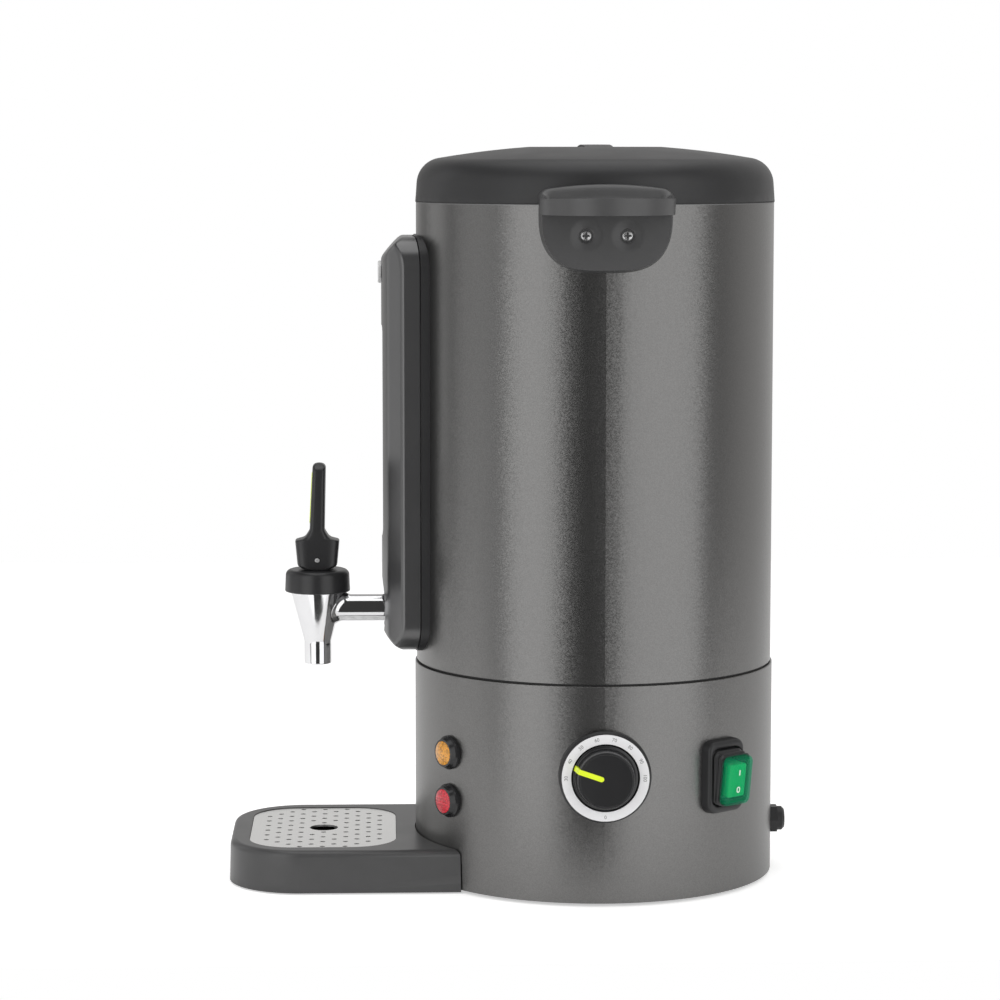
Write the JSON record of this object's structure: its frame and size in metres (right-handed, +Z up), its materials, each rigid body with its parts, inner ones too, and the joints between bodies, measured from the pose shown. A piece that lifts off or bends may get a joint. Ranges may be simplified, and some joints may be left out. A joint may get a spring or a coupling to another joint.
{
  "type": "hot water urn",
  "caption": "Cylindrical electric hot water urn with twist-off lid, side handles, front sight gauge, lever tap over a removable drip tray, dial, lamps and rocker switch.",
  "frame": {"origin": "centre of the whole urn's footprint, tray and cord gland included, on the surface it stands on", "axes": "+Z up; -Y towards the tap and drip tray; +X towards the side with the dial, lamps and switch"},
  "size_m": [0.305, 0.343, 0.4471],
  "materials": {
    "grey_steel": "fine metallic graphite, satin",
    "grey_steel_dark": "satin",
    "foot_rubber": "matt",
    "seam_black": "matt",
    "stainless_steel": "brushed",
    "plate_aluminium": "cast",
    "element_steel": "heat-tinted",
    "zinc_steel": "plated",
    "control_plastic": "matt",
    "button_red": "gloss",
    "black_plastic": "fine texture, matt",
    "gloss_black": "semi-gloss",
    "dial_silver": "satin",
    "lime_green": "semi-gloss",
    "lens_amber": "clear gloss",
    "lens_red": "clear gloss",
    "rocker_green": "gloss",
    "boot_clear": "soft clear sleeve",
    "screw_steel": "bright",
    "window_clear": "clear",
    "gauge_glass": "clear",
    "seal_rubber": "silicone",
    "tap_chrome": "polished",
    "spring_steel": "bright",
    "brass_nut": "machined",
    "tray_steel": "satin brushed",
    "lid_black": "fine texture, matt"
  },
  "bodies": {
    "urn": {"base_shell": "grey_steel", "bottom_plate": "grey_steel_dark", "feet": "foot_rubber", "seam_ring": "seam_black", "jacket": "grey_steel", "inner_pot": "stainless_steel", "lock_ring": "stainless_steel", "heating_plate": "plate_aluminium", "heating_element": "element_steel", "tie_studs": "zinc_steel", "tie_nuts": "zinc_steel", "safety_cutout": "control_plastic", "terminal_block": "control_plastic", "thermostat": "control_plastic", "dial_bezel": "black_plastic", "dial_ring": "dial_silver", "lamp_bezels": "gloss_black", "lamp_lens_amber": "lens_amber", "lamp_lens_red": "lens_red", "lamp_nuts": "gloss_black", "switch_frame": "black_plastic", "switch_body": "control_plastic", "cord_gland": "black_plastic", "gland_nut": "black_plastic", "handle_right": "black_plastic", "handle_left": "black_plastic", "handle_screws": "screw_steel", "handle_nut_plates": "zinc_steel", "gauge_back": "black_plastic", "gauge_cover": "black_plastic", "gauge_window": "window_clear", "gauge_tube": "gauge_glass", "gauge_manifold": "control_plastic", "tube_seals": "seal_rubber", "tube_plug": "control_plastic", "cover_cap": "black_plastic", "cover_screw": "screw_steel", "tap_body": "tap_chrome", "tap_bonnet": "gloss_black", "tap_spring": "spring_steel", "shank_nut": "brass_nut", "shank_seals": "seal_rubber"},
    "drip_tray": {"drip_tray": "black_plastic"},
    "drip_plate": {"drip_plate": "tray_steel"},
    "lid_seal": {"lid_gasket": "seal_rubber"},
    "lid": {"lid_shell": "lid_black", "lid_pan": "stainless_steel", "lid_screws": "screw_steel"},
    "thermostat_knob": {"knob": "black_plastic", "knob_pointer": "lime_green", "thermostat_spindle": "zinc_steel"},
    "switch_rocker": {"switch_rocker": "rocker_green", "switch_boot": "boot_clear"},
    "reset_button": {"reset_button": "button_red"},
    "tap_stem": {"tap_stem": "spring_steel", "tap_seat": "seal_rubber"},
    "tap_lever": {"tap_lever": "black_plastic", "lever_insert": "lime_green", "lever_pin": "spring_steel"}
  },
  "joints": [
    {"name": "lid_lift", "type": "slide", "parent": "urn", "child": "lid_seal", "axis": [0, 0, 1], "range_m": [0, 0.12]},
    {"name": "lid_twist", "type": "hinge", "parent": "lid_seal", "child": "lid", "pos_m": [0, 0.0525, 0.4133], "axis": [0, 0, 1], "range_deg": [0, 30]},
    {"name": "knob_turn", "type": "hinge", "parent": "urn", "child": "thermostat_knob", "pos_m": [0.11, 0.0525, 0.0786], "axis": [1, 0, 0], "range_deg": [-161, 109]},
    {"name": "switch_rock", "type": "hinge", "parent": "urn", "child": "switch_rocker", "pos_m": [0.08495, 0.12379, 0.0738], "axis": [-0.6428, 0.766, 0], "range_deg": [-13, 0]},
    {"name": "reset_press", "type": "slide", "parent": "urn", "child": "reset_button", "axis": [0, 0, 1], "range_m": [0, 0.0015], "stiffness_N_per_m": 300, "springref_m": -0.002},
    {"name": "tap_stem_lift", "type": "slide", "parent": "urn", "child": "tap_stem", "axis": [0, 0, 1], "range_m": [0, 0.0035], "deforming": ["tap_spring"]},
    {"name": "tap_lever_tilt", "type": "hinge", "parent": "tap_stem", "child": "tap_lever", "pos_m": [0, -0.1175, 0.1939], "axis": [1, 0, 0], "range_deg": [0, 30], "stiffness_Nm_per_rad": 0.022, "springref_deg": -68.75},
    {"name": "tray_pull", "type": "slide", "parent": "urn", "child": "drip_tray", "axis": [0, -1, 0], "range_m": [0, 0.12]},
    {"name": "plate_lift", "type": "slide", "parent": "drip_tray", "child": "drip_plate", "axis": [0, 0, 1], "range_m": [0, 0.05]}
  ],
  "couplings": [
    {"joint": "tap_stem_lift", "follows": "tap_lever_tilt", "m_per_rad": 0.006684}
  ]
}
